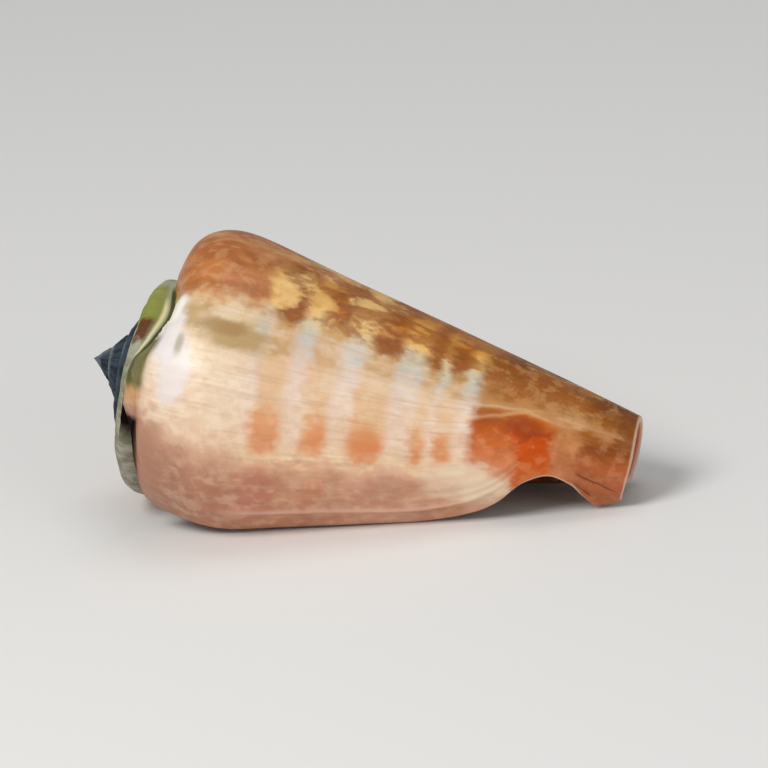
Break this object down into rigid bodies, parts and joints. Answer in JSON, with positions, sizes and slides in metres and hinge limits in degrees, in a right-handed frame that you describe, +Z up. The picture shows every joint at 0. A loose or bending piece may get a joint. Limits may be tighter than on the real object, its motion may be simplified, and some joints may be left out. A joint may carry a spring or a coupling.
{
  "type": "conch shell",
  "caption": "Small conical conch shell lying on its mouth: low stepped spire, conical last whorl, free outer lip with a notch, narrow mouth.",
  "frame": {"origin": "centre of the bounding box, at the surface that the shell lies on", "axes": "+X towards the front end of the shell, -Y towards the outer lip's side, +Z up"},
  "size_m": [0.0496, 0.0266, 0.0241],
  "materials": {
    "shell": "glossy natural shell, cream and pink with orange-brown bands and blotches, worn grey apex"
  },
  "bodies": {
    "root": {"shell": "shell"}
  },
  "joints": []
}
